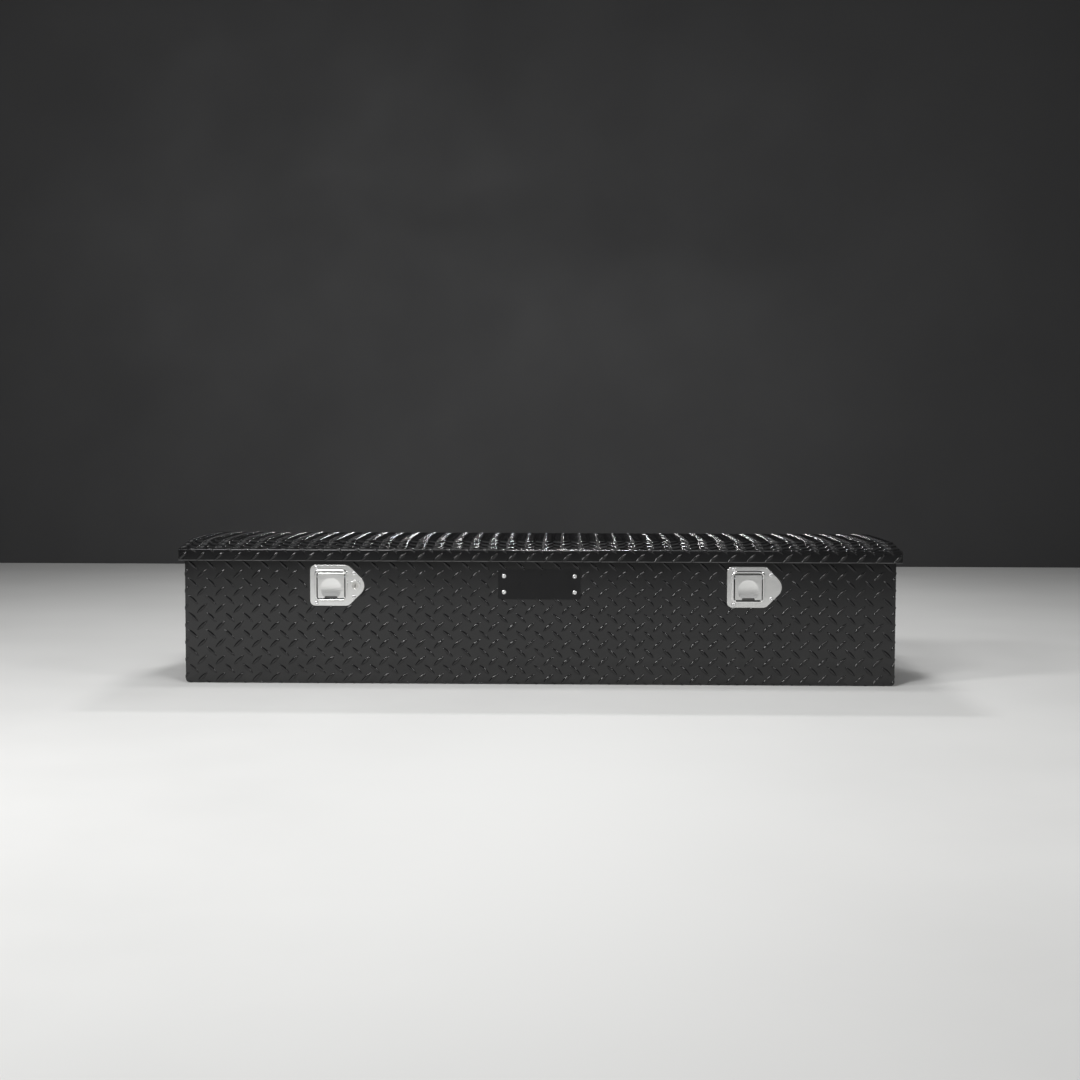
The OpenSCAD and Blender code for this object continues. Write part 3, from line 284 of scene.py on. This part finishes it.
def swapIn(bm, node, name):  # puts a worked copy in a node's place
    for edge in sharpEdges(bm, creases["shade"]):
        edge.smooth = False
    piece = addPiece(name, bm, bodyOf[node], slotOf[node])
    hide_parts(node)
    weighted = piece.modifiers.new("evenShading", "WEIGHTED_NORMAL")
    weighted.keep_sharp = True


def easeIn(bm, node, name, width, segments=2):
    roundEdges(bm, sharpEdges(bm, creases["ease"]), width, segments)
    swapIn(bm, node, name)


# raised tread bars
treadBar = {"long": 31 * mm, "wide": 7.4 * mm, "high": 1.6 * mm, "turn": 43.0, "across": 38.6 * mm,
            "up": 36.5 * mm, "sides": 14, "margin": 0.4, "spare": 2,
            # each ring: share of the length, width and height, the first one sunk in the sheet
            "rings": [(1.02, 1.06, -0.16), (0.94, 0.83, 0.52), (0.87, 0.63, 0.88), (0.62, 0.32, 1.0)]}


def barShape(degrees):
    bm = bmesh.new()
    ring = bmesh.ops.create_circle(bm, cap_ends=True, segments=treadBar["sides"], radius=1.0)["verts"]
    for vert in ring:  # a round outline drawn to points at both ends
        vert.co.y *= abs(vert.co.y)
    before = treadBar["rings"][0]
    half = (treadBar["long"] / 2, treadBar["wide"] / 2, treadBar["high"])
    bmesh.ops.scale(bm, verts=ring, vec=(before[0] * half[0], before[1] * half[1], 1.0))
    bmesh.ops.translate(bm, verts=ring, vec=(0, 0, before[2] * half[2]))
    base = top = bm.faces[:][0]
    for after in treadBar["rings"][1:]:
        made = bmesh.ops.extrude_face_region(bm, geom=[top], use_keep_orig=True)["geom"]
        if top is not base:  # only the bar's own bottom stays inside the sheet
            bmesh.ops.delete(bm, geom=[top], context="FACES_ONLY")
        ring = [g for g in made if isinstance(g, bmesh.types.BMVert)]
        top = [g for g in made if isinstance(g, bmesh.types.BMFace)][0]
        bmesh.ops.translate(bm, verts=ring, vec=(0, 0, half[2] * (after[2] - before[2])))
        bmesh.ops.scale(bm, verts=ring, vec=(after[0] / before[0], after[1] / before[1], 1.0))
        before = after
    bmesh.ops.recalc_face_normals(bm, faces=bm.faces)
    if bm.calc_volume(signed=True) < 0:
        bmesh.ops.reverse_faces(bm, faces=bm.faces)
    spin = Matrix.Rotation(math.radians(degrees), 3, "Z")
    bmesh.ops.rotate(bm, verts=bm.verts, cent=(0, 0, 0), matrix=spin)
    shape = bpy.data.meshes.new("bar")
    bm.to_mesh(shape)
    bm.free()
    return shape


def sheetOfBars(size, first, skip):  # flat: X along the sheet, Y up it, Z out of it
    bm = bmesh.new()
    (left, right), (low, high) = size
    margin = treadBar["margin"] * treadBar["long"]
    spare = treadBar["spare"]
    columns = range(-spare, math.ceil((right - left) / treadBar["across"]) + spare)
    rows = range(-spare, math.ceil((high - low) / treadBar["up"]) + spare)
    for degrees, shift in ((-treadBar["turn"], 0.0), (treadBar["turn"], 0.5)):
        shape = barShape(degrees)
        for i in columns:
            for j in rows:
                x = left + first[0] + (i + shift) * treadBar["across"]
                y = low + first[1] + (j + shift) * treadBar["up"]
                inside = left - margin < x < right + margin and low - margin < y < high + margin
                if inside and not skip(x, y):
                    shape.transform(Matrix.Translation((x, y, 0)))
                    bm.from_mesh(shape)
                    shape.transform(Matrix.Translation((-x, -y, 0)))
        bpy.data.meshes.remove(shape)
    return bm


def bisected(bm, place, way, clear=False):
    return bmesh.ops.bisect_plane(bm, geom=bm.verts[:] + bm.edges[:] + bm.faces[:], dist=cutSlack,
                                  plane_co=place, plane_no=way, clear_outer=clear)["geom_cut"]


def trim(bm, place, outward):  # cuts the bars off past a plane and closes them
    cut = [g for g in bisected(bm, place, outward, True) if isinstance(g, bmesh.types.BMEdge)]
    for cap in bmesh.ops.holes_fill(bm, edges=cut, sides=0)["faces"]:
        cap.normal_update()
        if cap.normal.dot(Vector(outward)) < 0:
            cap.normal_flip()


def score(bm, heights):  # extra edges where the sheet will bend
    for height in heights:
        bisected(bm, (0, height, 0), (0, 1, 0))


def foldPath(points):  # lengths along a folded profile, with the outward normal at each corner
    points = [Vector(p) for p in points]
    lengths = [0.0]
    for a, b in zip(points, points[1:]):
        lengths.append(lengths[-1] + (b - a).length)
    ways = [(b - a).normalized() for a, b in zip(points, points[1:])]
    normals = []
    for i in range(len(points)):
        way = ways[max(i - 1, 0)] + ways[min(i, len(ways) - 1)]
        normals.append(Vector((-way.y, way.x)).normalized())
    return points, lengths, normals


def onPath(path, length):
    points, lengths, normals = path
    i = 0
    while i < len(lengths) - 2 and length > lengths[i + 1]:
        i += 1
    share = (length - lengths[i]) / (lengths[i + 1] - lengths[i])
    spot = points[i].lerp(points[i + 1], share)
    return spot, normals[i].lerp(normals[i + 1], min(max(share, 0.0), 1.0)).normalized()


def foldOver(bm, path, lay):
    for vert in bm.verts:
        spot, normal = onPath(path, vert.co.y)
        point = spot + normal * vert.co.z
        vert.co = lay(vert.co.x, point.x, point.y)


def arcPoints(center, radius, start, stop, steps):
    spots = [math.radians(start + (stop - start) * i / steps) for i in range(steps + 1)]
    return [(center[0] + radius * math.cos(a), center[1] + radius * math.sin(a)) for a in spots]


def frontLay(x, y, z):
    return Vector((x, y, z))


def backLay(x, y, z):
    return Vector((-x, -y, z))


def endLay(side, middle):  # turned to face one end
    return lambda x, y, z: Vector((side * y, middle - side * x, z))


def skipNone(x, length):
    return False


# tread on the tub: front, back and both ends
latch = {"spots": [-440 * mm, 440 * mm], "left": -44.5 * mm, "tip": 70.6 * mm, "half": 43.5 * mm,
         "room": 2 * mm, "taper": 0.5}
badge = {"tuck": 4 * mm, "rivetIn": 12.5 * mm, "rivetDown": 15 * mm}
tubFold = {"radius": 6 * mm, "endRadius": 9 * mm, "under": 50, "steps": 4}
tubTread = {"edge": 1.2 * mm, "endEdge": 3 * mm, "belowLip": 10.7 * mm, "leafRoom": 12 * mm,
            "front": 16.5 * mm, "back": 9 * mm, "end": 12 * mm}  # the last three: first bar from the edge
paddleLow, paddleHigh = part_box("left_paddle")
latchHeight = (paddleLow.z + paddleHigh.z) / 2
badgeLow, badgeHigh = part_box("badge_plate")
underLength = tubFold["radius"] * math.radians(tubFold["under"])
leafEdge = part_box("hinge_tub_leaf")[0].z - tubFold["radius"] + underLength


def skipFittings(x, length):  # no bars behind the latch plates and the badge
    z = length - underLength + tubFold["radius"]
    for spot in latch["spots"]:
        side, rise = x - spot, abs(z - latchHeight)
        across = latch["left"] - latch["room"] < side < latch["tip"] - rise * latch["taper"]
        if across and rise < latch["half"] + latch["room"]:
            return True
    across = badgeLow.x + badge["tuck"] < x < badgeHigh.x - badge["tuck"]
    return across and badgeLow.z + badge["tuck"] < z < badgeHigh.z - badge["tuck"]


def skipLeaf(x, length):  # no bars behind the hinge
    return length > leafEdge - tubTread["leafRoom"]


def wallPath(face, radius):  # up one wall from partway round its lower fold
    low = arcPoints((face + radius, radius), radius, 180 + tubFold["under"], 180, tubFold["steps"])
    return foldPath(low + [(face, tubHigh.z - tubFold["radius"])])


def wallTread(name, path, reach, first, skip, lay):
    lengths = path[1]
    bm = sheetOfBars(((-reach, reach), (0.0, lengths[-1])), first, skip)
    trim(bm, (-reach, 0, 0), (-1, 0, 0))
    trim(bm, (reach, 0, 0), (1, 0, 0))
    trim(bm, (0, 0, 0), (0, -1, 0))
    trim(bm, (0, lengths[-1], 0), (0, 1, 0))
    score(bm, lengths[1:-1])
    foldOver(bm, path, lay)
    addPiece(name, bm, "tub", "tread_black")


firstUp = (lidLow.z - tubTread["belowLip"] - tubFold["radius"] + underLength) % treadBar["up"]
halfTub = tubHigh.x - tubTread["edge"]
wallTread("frontTread", wallPath(tubLow.y, tubFold["radius"]), halfTub,
          (tubTread["front"] - tubTread["edge"], firstUp), skipFittings, frontLay)
wallTread("backTread", wallPath(-tubHigh.y, tubFold["radius"]), halfTub,
          (tubTread["back"], firstUp), skipLeaf, backLay)
endPath = wallPath(tubLow.x, tubFold["endRadius"])
tubMid = (tubLow.y + tubHigh.y) / 2
halfEnd = (tubHigh.y - tubLow.y) / 2 - tubTread["endEdge"]
for name, side in (("leftEndTread", 1), ("rightEndTread", -1)):
    wallTread(name, endPath, halfEnd, (tubTread["end"], firstUp), skipNone, endLay(side, tubMid))
print("tub tread laid")

# tread on the lid, folded over its front, top and back, and on its end lips
lidTop = {"bevel": 100 * mm, "bevelRise": 12.5 * mm, "crownRise": 1.5 * mm, "crownSteps": 8,
          "fold": 3.5 * mm, "foldSteps": 6, "lip": 25 * mm, "endRound": 3.5 * mm, "notch": 4.5 * mm}
lidTread = {"firstUp": 8.7 * mm, "across": 28 * mm, "lipAcross": 20 * mm, "edge": 0.6 * mm,
            "rearRoom": 12 * mm}
edgeZ = lidLow.z + lidTop["lip"]
bandZ = edgeZ + lidTop["bevelRise"]
slope = math.degrees(math.atan2(lidTop["bevelRise"], lidTop["bevel"]))


def lidProfile():
    turnAngle = 90 - slope
    fold, steps = lidTop["fold"], lidTop["foldSteps"]
    foldZ = edgeZ - fold * math.tan(math.radians(turnAngle / 2))
    front = arcPoints((lidLow.y + fold, foldZ), fold, 180, 180 - turnAngle, steps)
    rear = arcPoints((lidHigh.y - fold, foldZ), fold, turnAngle, 0, steps)
    bandFront, bandRear = lidLow.y + lidTop["bevel"], lidHigh.y - lidTop["bevel"]
    crown = []
    for i in range(lidTop["crownSteps"] + 1):
        share = i / lidTop["crownSteps"]
        rise = lidTop["crownRise"] * (1 - (2 * share - 1) ** 2)
        crown.append((bandFront + (bandRear - bandFront) * share, bandZ + rise))
    return [(lidLow.y, lidLow.z)] + front + crown + rear + [(lidHigh.y, lidLow.z + lidTop["notch"])]


lidPath = foldPath(lidProfile())
lidLengths = lidPath[1]
halfLid = lidHigh.x - lidTop["endRound"]


def skipRear(x, length):  # no bars by the lid's hinge leaf
    return length > lidLengths[-1] - lidTread["rearRoom"]


lidFirst = (lidTread["across"] - lidTop["endRound"], lidTread["firstUp"] + 0.5 * treadBar["up"])
bm = sheetOfBars(((-halfLid, halfLid), (0.0, lidLengths[-1])), lidFirst, skipRear)
trim(bm, (-halfLid, 0, 0), (-1, 0, 0))
trim(bm, (halfLid, 0, 0), (1, 0, 0))
trim(bm, (0, lidTread["edge"], 0), (0, -1, 0))
bends = lidTop["foldSteps"] + 2
score(bm, lidLengths[1:bends] + lidLengths[-bends:-1])
foldOver(bm, lidPath, frontLay)
addPiece("lidTread", bm, "lid", "tread_black")

lidMid = (lidLow.y + lidHigh.y) / 2
lidHalf = (lidHigh.y - lidLow.y) / 2
lipEdge = lidHalf - lidTop["endRound"]
lipRise = lidTop["lip"] - lidTop["endRound"]
lipCuts = [((-lipEdge, 0, 0), (-1, 0, 0)), ((lipEdge, 0, 0), (1, 0, 0)),
           ((0, lidTread["edge"], 0), (0, -1, 0)), ((0, lipRise + lidTop["bevelRise"], 0), (0, 1, 0)),
           ((-lidHalf, lipRise, 0), (-lidTop["bevelRise"], lidTop["bevel"], 0)),
           ((lidHalf, lipRise, 0), (lidTop["bevelRise"], lidTop["bevel"], 0))]
lipPath = foldPath([(lidLow.x, lidLow.z), (lidLow.x, lidHigh.z)])
for name, side in (("leftLipTread", 1), ("rightLipTread", -1)):
    bm = sheetOfBars(((-lidHalf, lidHalf), (0.0, lidHigh.z - lidLow.z)),
                     (lidTread["lipAcross"], lidTread["firstUp"]), skipNone)
    for place, way in lipCuts:
        trim(bm, place, way)
    foldOver(bm, lipPath, endLay(side, lidMid))
    addPiece(name, bm, "lid", "tread_black")
print("lid tread laid")

# lid skin with its end folds rounded
skinEdge = {"slack": 0.1 * mm, "corner": 12 * mm, "segments": 4}


def onEndFold(edge):  # the upper outline of an end, or one of its upright corners
    a, b = [v.co for v in edge.verts]
    if any(abs(abs(p.x) - lidHigh.x) >= skinEdge["slack"] for p in (a, b)):
        return False
    return min(a.z, b.z) > lidLow.z + skinEdge["slack"] or abs(a.z - b.z) > skinEdge["corner"]


bm = cleanCopy("lid_skin")
roundEdges(bm, [edge for edge in sharpEdges(bm, creases["fold"]) if onEndFold(edge)], lidTop["endRound"],
           skinEdge["segments"])
swapIn(bm, "lid_skin", "lidSkin")
print("lid skin rounded")

# latch plates, paddles, lock and badge with eased edges
dish = {"face": tubLow.y - 2.5 * mm, "slack": 0.05 * mm, "rim": 1.2 * mm, "rimSegments": 4, "ease": 0.4 * mm,
        "beadX": 36.5 * mm, "beadZ": 35.5 * mm, "lockX": 51 * mm, "lockRoom": 12 * mm,
        "rivets": [(-30.5 * mm, 37.3 * mm), (48.6 * mm, 25 * mm)], "rivetRoom": 3.5 * mm}
thumb = {"radius": 120 * mm, "deep": 2.2 * mm, "drop": 7 * mm, "keep": 0.55, "slack": 0.02 * mm}
ease = {"paddle": 0.35 * mm, "gasket": 0.2 * mm, "striker": 0.3 * mm, "barrel": 0.35 * mm, "plug": 0.3 * mm,
        "badge": 0.4 * mm}


def onRim(edge, x):  # the plate's outline, not its bead or holes
    if any(abs(v.co.y - dish["face"]) > dish["slack"] for v in edge.verts):
        return False
    mid = (edge.verts[0].co + edge.verts[1].co) / 2
    u, w = mid.x - x, abs(mid.z - latchHeight)
    holes = [(px, pz, dish["rivetRoom"]) for px, pz in dish["rivets"]]
    holes.append((dish["lockX"], 0.0, dish["lockRoom"]))
    if any(math.hypot(u - px, w - pz) < room for px, pz, room in holes):
        return False
    return abs(u) > dish["beadX"] or w > dish["beadZ"]


def plateCopy(side, x):
    bm = cleanCopy(side + "_latch_dish")
    rim = [edge for edge in sharpEdges(bm, creases["fold"]) if onRim(edge, x)]
    roundEdges(bm, rim, dish["rim"], dish["rimSegments"])
    raised = [edge for edge in sharpEdges(bm, creases["shade"]) if edge.calc_face_angle_signed(0.0) > 0]
    roundEdges(bm, raised, dish["ease"], 2)
    swapIn(bm, side + "_latch_dish", side + "LatchDish")


def paddleCopy(side, x):  # the paddle with its thumb dish pressed more lightly
    bm = cleanCopy(side + "_paddle")
    middle = Vector((x, paddleLow.y + thumb["deep"] - thumb["radius"], latchHeight - thumb["drop"]))
    for vert in bm.verts:
        if abs((vert.co - middle).length - thumb["radius"]) < thumb["slack"]:
            vert.co.y = paddleLow.y + thumb["keep"] * (vert.co.y - paddleLow.y)
    easeIn(bm, side + "_paddle", side + "Paddle", ease["paddle"])


def softCopy(node, name, width, segments=2):
    easeIn(cleanCopy(node), node, name, width, segments)


for side, x in zip(("left", "right"), latch["spots"]):
    plateCopy(side, x)
    paddleCopy(side, x)
    softCopy(side + "_latch_gasket", side + "LatchGasket", ease["gasket"], 1)
    softCopy(side + "_striker", side + "Striker", ease["striker"])
softCopy("left_lock_barrel", "lockBarrel", ease["barrel"])
softCopy("left_lock_plug", "lockPlug", ease["plug"])
softCopy("badge_plate", "badgePlate", ease["badge"])
print("latches and badge eased")

# pop rivets with a set mandrel in the middle, their profile as radius and height in mm
popRivet = {"profile": [(0.0, 0.35), (1.1, 0.35), (1.35, 1.25), (1.9, 1.4), (3.0, 1.22), (4.0, 0.75),
                        (4.5, 0.3), (4.6, 0.0), (0.0, 0.0)],
            "steps": 20, "merge": 0.002 * mm}


def addRivet(bm, spot):
    corners = [bm.verts.new((r * mm, -h * mm, 0.0)) for r, h in popRivet["profile"]]
    edges = [bm.edges.new(pair) for pair in zip(corners, corners[1:])]
    bmesh.ops.spin(bm, geom=corners + edges, cent=(0, 0, 0), axis=(0, 1, 0), dvec=(0, 0, 0),
                   angle=2 * math.pi, steps=popRivet["steps"], use_merge=True)
    fresh = [v for v in bm.verts if not v.tag]
    bmesh.ops.remove_doubles(bm, verts=fresh, dist=popRivet["merge"])
    fresh = [v for v in bm.verts if not v.tag]
    bmesh.ops.translate(bm, verts=fresh, vec=spot)
    for vert in fresh:
        vert.tag = True


def rivetPiece(name, node, spots):
    bm = bmesh.new()
    for spot in spots:
        addRivet(bm, spot)
    bmesh.ops.recalc_face_normals(bm, faces=bm.faces)
    piece = addPiece(name, bm, bodyOf[node], slotOf[node])
    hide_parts(node)


for side, x in zip(("left", "right"), latch["spots"]):
    rivetPiece(side + "PlateRivets", side + "_latch_rivets",
               [(x + u, dish["face"], latchHeight + s * w) for u, w in dish["rivets"] for s in (-1, 1)])
badgeX = (badgeHigh.x - badgeLow.x) / 2 - badge["rivetIn"]
badgeZ = (badgeHigh.z - badgeLow.z) / 2 - badge["rivetDown"]
badgeMid = (badgeLow.z + badgeHigh.z) / 2
rivetPiece("badgePopRivets", "badge_rivets",
           [(sx * badgeX, badgeLow.y, badgeMid + sz * badgeZ) for sx in (-1, 1) for sz in (-1, 1)])
print("rivets set")

# floor, backdrop and lights
studio = {"floor": (0.68, 0.68, 0.67), "wall": (0.03, 0.03, 0.031), "reach": 14, "wallPlace": 3.2,
          "wallTop": 9,
          "paint": {"rough": (0.6, 0.75), "patch": 1.5, "grain": 60.0, "bump": 0.02, "shade": 0.02},
          # sine of height, strength
          "sky": [(0.0, 0.5), (0.14, 0.42), (0.26, 0.05), (0.7, 0.05), (1.0, 0.12)]}
lamps = [  # name, place, aim, size, watts
    ("leftSoftbox", (-2.2, -1.9, 2.1), (-0.1, 0, 0.15), (0.6, 0.6), 40),
    ("rightSoftbox", (2.2, -1.9, 2.1), (0.1, 0, 0.15), (0.6, 0.6), 19),
    ("keySoftbox", (-1.0, -2.6, 2.4), (-0.5, -1.0, 0.1), (0.8, 0.8), 37),
    ("overheadSoftbox", (0.0, 0.2, 2.7), (0, 0, 0.2), (1.6, 0.4), 16),
    ("glintLamp", (0.0, -1.3, 2.7), (0, -0.26, 0.25), (0.3, 0.3), 16),
    ("rearLamp", (0.1, 2.4, 2.3), (0, 0, 0.25), (0.5, 0.15), 30)]


def stagePlane(name, corners, base):
    bm = bmesh.new()
    bm.faces.new([bm.verts.new(c) for c in corners])
    mesh = bpy.data.meshes.new(name)
    bm.to_mesh(mesh)
    bm.free()
    plane = bpy.data.objects.new(name, mesh)
    scene.collection.objects.link(plane)
    mesh.materials.append(makeFinish(name + "Paint", {"base": base, **studio["paint"]}))


def addLamp(name, place, aim, size, watts):
    lamp = bpy.data.lights.new(name, "AREA")
    lamp.shape = "RECTANGLE"
    lamp.size, lamp.size_y = size
    lamp.energy = watts
    obj = bpy.data.objects.new(name, lamp)
    obj.location = place
    obj.rotation_mode = "QUATERNION"
    obj.rotation_quaternion = (Vector(aim) - Vector(place)).to_track_quat("-Z", "Y")
    scene.collection.objects.link(obj)


reach, wallY, wallTop = studio["reach"], studio["wallPlace"], studio["wallTop"]
stagePlane("floor", [(-reach, -reach, 0), (reach, -reach, 0), (reach, reach, 0), (-reach, reach, 0)],
           studio["floor"])
stagePlane("backdrop", [(-reach, wallY, 0), (reach, wallY, 0), (reach, wallY, wallTop),
                        (-reach, wallY, wallTop)], studio["wall"])
for lamp in lamps:
    addLamp(*lamp)
world = bpy.data.worlds.new("studioWorld")
scene.world = world
world.use_nodes = True
sky = world.node_tree
facing = sky.nodes.new("ShaderNodeTexCoord")
height = sky.nodes.new("ShaderNodeSeparateXYZ")
glow = sky.nodes.new("ShaderNodeValToRGB")
while len(glow.color_ramp.elements) < len(studio["sky"]):
    glow.color_ramp.elements.new(0.5)
for stop, (position, strength) in zip(glow.color_ramp.elements, studio["sky"]):
    stop.position = position
    stop.color = (strength, strength, strength, 1)
sky.links.new(facing.outputs["Generated"], height.inputs["Vector"])
sky.links.new(height.outputs["Z"], glow.inputs["Fac"])
sky.links.new(glow.outputs["Color"], sky.nodes["Background"].inputs["Color"])
print("studio lit")
